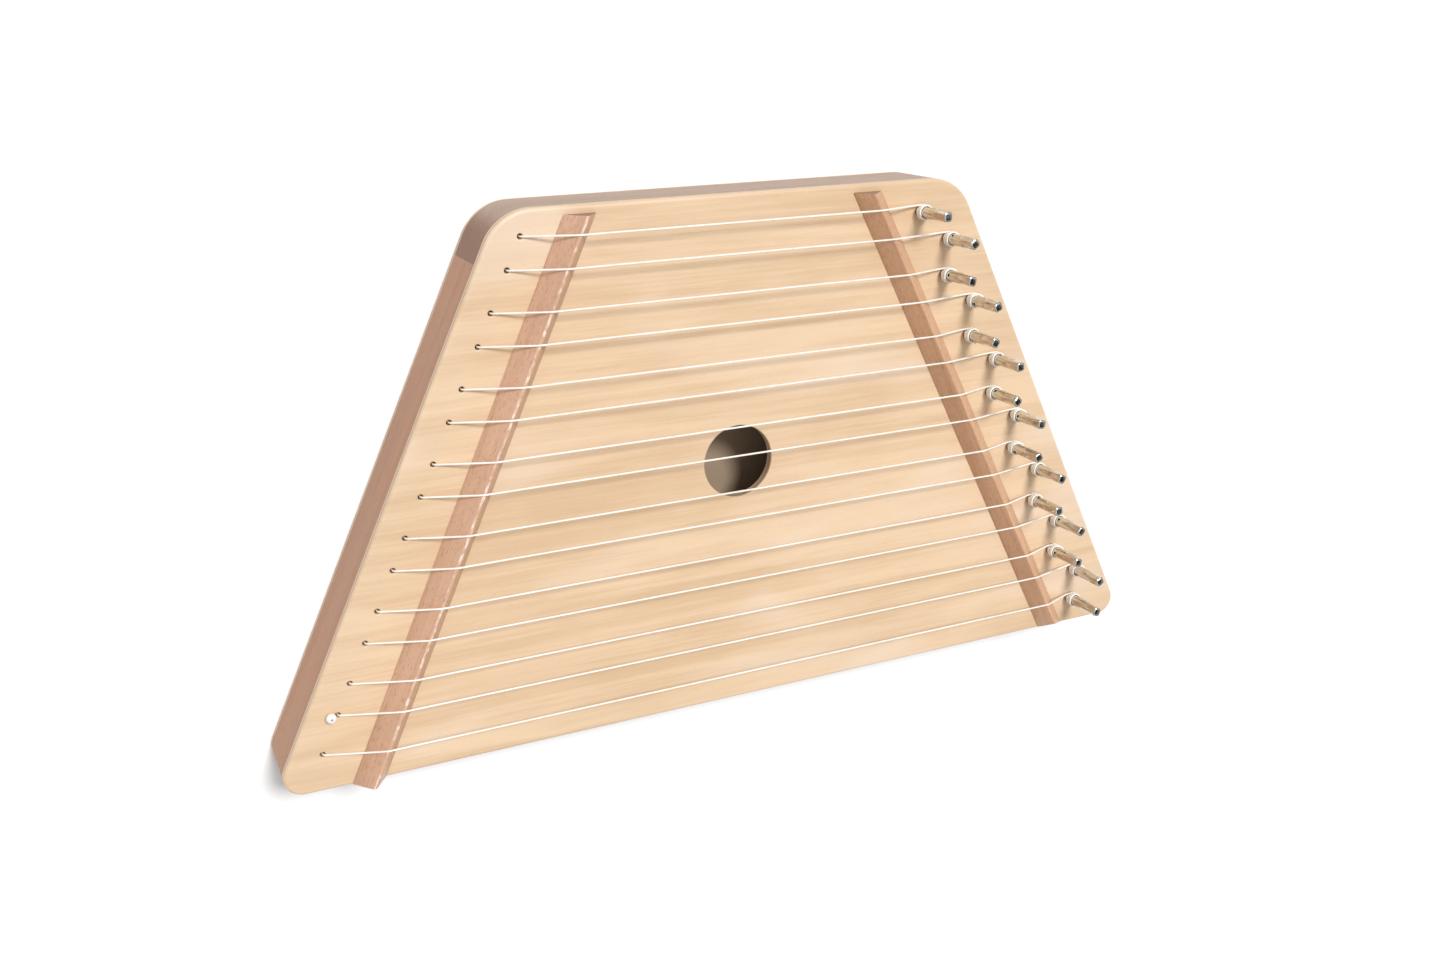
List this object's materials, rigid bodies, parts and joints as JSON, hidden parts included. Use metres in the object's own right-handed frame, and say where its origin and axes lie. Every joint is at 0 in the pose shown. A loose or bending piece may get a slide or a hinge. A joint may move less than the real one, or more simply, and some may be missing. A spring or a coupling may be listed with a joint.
{
  "type": "table harp",
  "caption": "Flat trapezoid table harp: a wooden sound box with a round sound hole, slanted bridges, nylon strings over them and tuning pins that turn.",
  "frame": {"origin": "centre of the bounding box at the back face, which lies on the table", "axes": "+Z out of the soundboard, +X along the strings from the hitch end to the tuning pins, +Y from the long near edge to the short far edge"},
  "size_m": [0.42, 0.23, 0.0585],
  "materials": {
    "soundboard_ply": "satin lacquered birch plywood",
    "back_ply": "satin lacquered birch plywood",
    "rim_beech": "satin lacquered beech",
    "bridge_beech": "oiled beech",
    "pin_nickel": "nickel plated steel",
    "string_nylon": "white nylon",
    "bead_white": "white plastic"
  },
  "bodies": {
    "harp_body": {"soundboard": "soundboard_ply", "back_board": "back_ply", "top_rail": "rim_beech", "bottom_rail": "rim_beech", "hitch_block": "rim_beech", "pin_block": "rim_beech", "left_bridge": "bridge_beech", "right_bridge": "bridge_beech", "string_end_bead": "bead_white", "string_01": "string_nylon", "string_02": "string_nylon", "string_03": "string_nylon", "string_04": "string_nylon", "string_05": "string_nylon", "string_06": "string_nylon", "string_07": "string_nylon", "string_08": "string_nylon", "string_09": "string_nylon", "string_10": "string_nylon", "string_11": "string_nylon", "string_12": "string_nylon", "string_13": "string_nylon", "string_14": "string_nylon", "string_15": "string_nylon"},
    "pin_01": {"tuning_pin_01": "pin_nickel", "string_winding_01": "string_nylon"},
    "pin_02": {"tuning_pin_02": "pin_nickel", "string_winding_02": "string_nylon"},
    "pin_03": {"tuning_pin_03": "pin_nickel", "string_winding_03": "string_nylon"},
    "pin_04": {"tuning_pin_04": "pin_nickel", "string_winding_04": "string_nylon"},
    "pin_05": {"tuning_pin_05": "pin_nickel", "string_winding_05": "string_nylon"},
    "pin_06": {"tuning_pin_06": "pin_nickel", "string_winding_06": "string_nylon"},
    "pin_07": {"tuning_pin_07": "pin_nickel", "string_winding_07": "string_nylon"},
    "pin_08": {"tuning_pin_08": "pin_nickel", "string_winding_08": "string_nylon"},
    "pin_09": {"tuning_pin_09": "pin_nickel", "string_winding_09": "string_nylon"},
    "pin_10": {"tuning_pin_10": "pin_nickel", "string_winding_10": "string_nylon"},
    "pin_11": {"tuning_pin_11": "pin_nickel", "string_winding_11": "string_nylon"},
    "pin_12": {"tuning_pin_12": "pin_nickel", "string_winding_12": "string_nylon"},
    "pin_13": {"tuning_pin_13": "pin_nickel", "string_winding_13": "string_nylon"},
    "pin_14": {"tuning_pin_14": "pin_nickel", "string_winding_14": "string_nylon"},
    "pin_15": {"tuning_pin_15": "pin_nickel", "string_winding_15": "string_nylon"}
  },
  "joints": [
    {"name": "pin_turn_01", "type": "hinge", "parent": "harp_body", "child": "pin_01", "pos_m": [0.08557, 0.10135, 0.036], "axis": [0, 0, -1], "range_deg": [-1080, 180]},
    {"name": "pin_turn_02", "type": "hinge", "parent": "harp_body", "child": "pin_02", "pos_m": [0.09994, 0.08856, 0.036], "axis": [0, 0, -1], "range_deg": [-1080, 180]},
    {"name": "pin_turn_03", "type": "hinge", "parent": "harp_body", "child": "pin_03", "pos_m": [0.09933, 0.07236, 0.036], "axis": [0, 0, -1], "range_deg": [-1080, 180]},
    {"name": "pin_turn_04", "type": "hinge", "parent": "harp_body", "child": "pin_04", "pos_m": [0.11371, 0.05957, 0.036], "axis": [0, 0, -1], "range_deg": [-1080, 180]},
    {"name": "pin_turn_05", "type": "hinge", "parent": "harp_body", "child": "pin_05", "pos_m": [0.1131, 0.04338, 0.036], "axis": [0, 0, -1], "range_deg": [-1080, 180]},
    {"name": "pin_turn_06", "type": "hinge", "parent": "harp_body", "child": "pin_06", "pos_m": [0.12747, 0.03059, 0.036], "axis": [0, 0, -1], "range_deg": [-1080, 180]},
    {"name": "pin_turn_07", "type": "hinge", "parent": "harp_body", "child": "pin_07", "pos_m": [0.12686, 0.01439, 0.036], "axis": [0, 0, -1], "range_deg": [-1080, 180]},
    {"name": "pin_turn_08", "type": "hinge", "parent": "harp_body", "child": "pin_08", "pos_m": [0.14123, 0.0016, 0.036], "axis": [0, 0, -1], "range_deg": [-1080, 180]},
    {"name": "pin_turn_09", "type": "hinge", "parent": "harp_body", "child": "pin_09", "pos_m": [0.14062, -0.01459, 0.036], "axis": [0, 0, -1], "range_deg": [-1080, 180]},
    {"name": "pin_turn_10", "type": "hinge", "parent": "harp_body", "child": "pin_10", "pos_m": [0.155, -0.02739, 0.036], "axis": [0, 0, -1], "range_deg": [-1080, 180]},
    {"name": "pin_turn_11", "type": "hinge", "parent": "harp_body", "child": "pin_11", "pos_m": [0.15439, -0.04358, 0.036], "axis": [0, 0, -1], "range_deg": [-1080, 180]},
    {"name": "pin_turn_12", "type": "hinge", "parent": "harp_body", "child": "pin_12", "pos_m": [0.16876, -0.05637, 0.036], "axis": [0, 0, -1], "range_deg": [-1080, 180]},
    {"name": "pin_turn_13", "type": "hinge", "parent": "harp_body", "child": "pin_13", "pos_m": [0.16815, -0.07256, 0.036], "axis": [0, 0, -1], "range_deg": [-1080, 180]},
    {"name": "pin_turn_14", "type": "hinge", "parent": "harp_body", "child": "pin_14", "pos_m": [0.18252, -0.08536, 0.036], "axis": [0, 0, -1], "range_deg": [-1080, 180]},
    {"name": "pin_turn_15", "type": "hinge", "parent": "harp_body", "child": "pin_15", "pos_m": [0.18191, -0.10155, 0.036], "axis": [0, 0, -1], "range_deg": [-1080, 180]}
  ]
}
